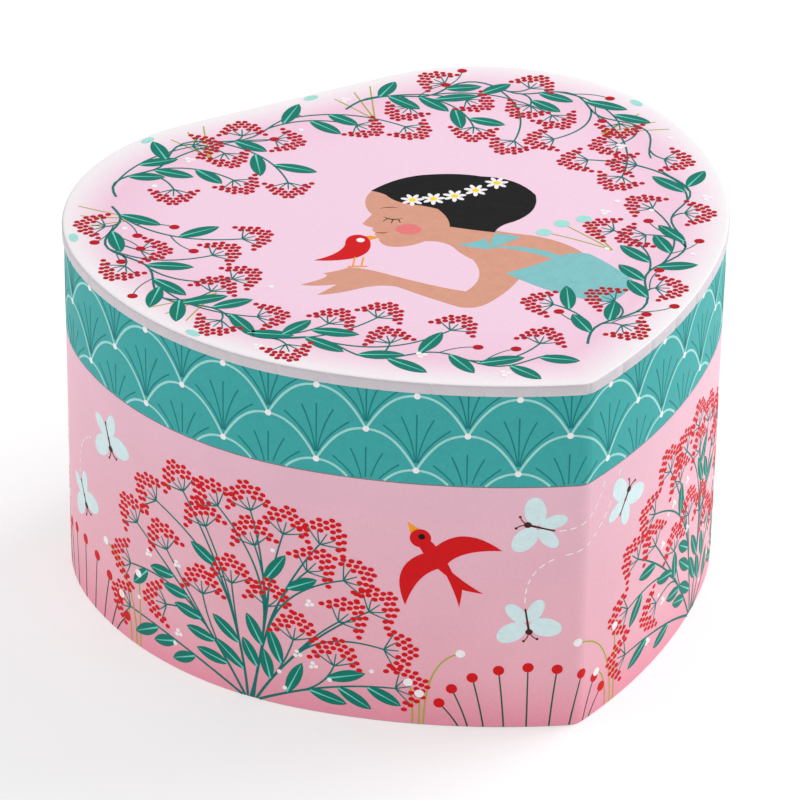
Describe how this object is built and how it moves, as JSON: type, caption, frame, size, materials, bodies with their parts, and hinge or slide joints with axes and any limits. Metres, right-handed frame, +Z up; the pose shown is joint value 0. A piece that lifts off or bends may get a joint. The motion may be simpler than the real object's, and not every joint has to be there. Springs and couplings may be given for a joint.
{
  "type": "wind-up music box",
  "caption": "Drop-shaped paper-wrapped jewellery box with a hinged lid, mirror, turning bird figurine and a wind-up comb movement with its key at the back.",
  "frame": {"origin": "centre of the flat underside of the casing", "axes": "+Z up through the lid, -Y towards the pointed front corner, +Y towards the hinge and key, X = 0 is the mirror plane of the casing"},
  "size_m": [0.1614, 0.1696, 0.095],
  "materials": {
    "greyboard": "bare greyboard, matt",
    "pink_print": "printed paper wrap, pink, satin laminate",
    "teal_print": "printed paper wrap, teal scallops, satin laminate",
    "top_print": "printed paper, pale pink fading to white, satin laminate",
    "white_board": "board wrapped in white paper",
    "lining_paper": "plain pink lining paper",
    "felt": "short pile felt",
    "hinge_cloth": "woven book cloth strip",
    "mirror": "silvered glass",
    "gold_card": "gold metallic card",
    "softwood": "planed softwood",
    "brass": "polished brass",
    "steel": "ground steel",
    "spring_steel": "blued spring steel",
    "zinc": "die cast zinc",
    "gold_key": "gilt steel key",
    "plastic_black": "moulded black plastic",
    "plastic_white": "moulded white plastic",
    "pad_rubber": "rubber",
    "mound_paint": "painted resin, green",
    "bird_paint": "painted resin, red",
    "beak_paint": "painted resin, orange"
  },
  "bodies": {
    "base": {"base_wall": "greyboard", "base_wrap": "pink_print", "base_lining": "lining_paper", "bottom_panel": "greyboard", "felt_floor": "felt", "divider_cross": "lining_paper", "divider_center": "lining_paper", "stage_front": "lining_paper", "stage_deck": "greyboard", "stage_felt": "felt", "spindle_bushing": "brass", "plunger_guide": "plastic_white", "movement_spacer": "softwood", "movement_plate": "zinc", "mounting_screws": "steel", "key_escutcheon": "brass", "barrel_bridge": "zinc", "bracket_left": "brass", "bracket_right": "brass", "bracket_outer": "brass", "spindle_bracket": "steel", "comb_base": "zinc", "comb": "steel", "comb_screws": "steel", "hinge_tape_base": "hinge_cloth"},
    "lid": {"hinge_tape_lid": "hinge_cloth", "lid_wall": "greyboard", "lid_wrap": "teal_print", "lid_lining": "lining_paper", "lid_ceiling": "lining_paper", "lid_top_panel": "white_board", "lid_top_print": "top_print", "mirror_glass": "mirror", "mirror_frame": "gold_card", "lid_push_block": "softwood"},
    "key": {"key_arbor": "steel", "winding_key": "gold_key"},
    "barrel": {"barrel_drum": "brass", "barrel_cap": "brass", "mainspring": "spring_steel", "barrel_crown": "brass"},
    "cylinder": {"cylinder_drum": "brass", "cylinder_pins": "steel", "cylinder_arbor": "steel", "cylinder_pinion": "brass", "cylinder_wheel": "brass"},
    "governor": {"governor_arbor": "steel", "governor_pinion": "brass", "brake_drum": "brass", "fan": "plastic_black"},
    "spindle": {"spindle_rod": "steel", "spindle_pinion": "brass", "turntable": "plastic_white", "perch_mound": "mound_paint", "bird": "bird_paint", "bird_beak": "beak_paint"},
    "plunger": {"stop_plunger": "plastic_white", "brake_pad": "pad_rubber"}
  },
  "joints": [
    {"name": "lid_hinge", "type": "hinge", "parent": "base", "child": "lid", "pos_m": [0, 0.07563, 0.0675], "axis": [-1, 0, 0], "range_deg": [0, 100]},
    {"name": "key_wind", "type": "hinge", "parent": "base", "child": "key", "pos_m": [0, 0.08, 0.031], "axis": [0, -1, 0], "range_deg": [0, 1440]},
    {"name": "barrel_spin", "type": "hinge", "parent": "base", "child": "barrel", "pos_m": [0, 0.0634, 0.031], "axis": [0, 1, 0], "continuous": true},
    {"name": "cylinder_spin", "type": "hinge", "parent": "base", "child": "cylinder", "pos_m": [0.0216, 0.0545, 0.031], "axis": [1, 0, 0], "continuous": true},
    {"name": "spindle_spin", "type": "hinge", "parent": "base", "child": "spindle", "pos_m": [0, 0.0545, 0.05], "axis": [0, 0, 1], "continuous": true},
    {"name": "governor_spin", "type": "hinge", "parent": "base", "child": "governor", "pos_m": [0.036, 0.0545, 0.03925], "axis": [1, 0, 0], "continuous": true},
    {"name": "stop_slide", "type": "slide", "parent": "base", "child": "plunger", "axis": [0, 0, 1], "range_m": [0, 0.0035]}
  ],
  "couplings": [
    {"joint": "cylinder_spin", "follows": "barrel_spin", "ratio": -4},
    {"joint": "spindle_spin", "follows": "barrel_spin", "ratio": -4},
    {"joint": "governor_spin", "follows": "barrel_spin", "ratio": 16},
    {"joint": "stop_slide", "follows": "lid_hinge", "m_per_rad": 0.002}
  ]
}
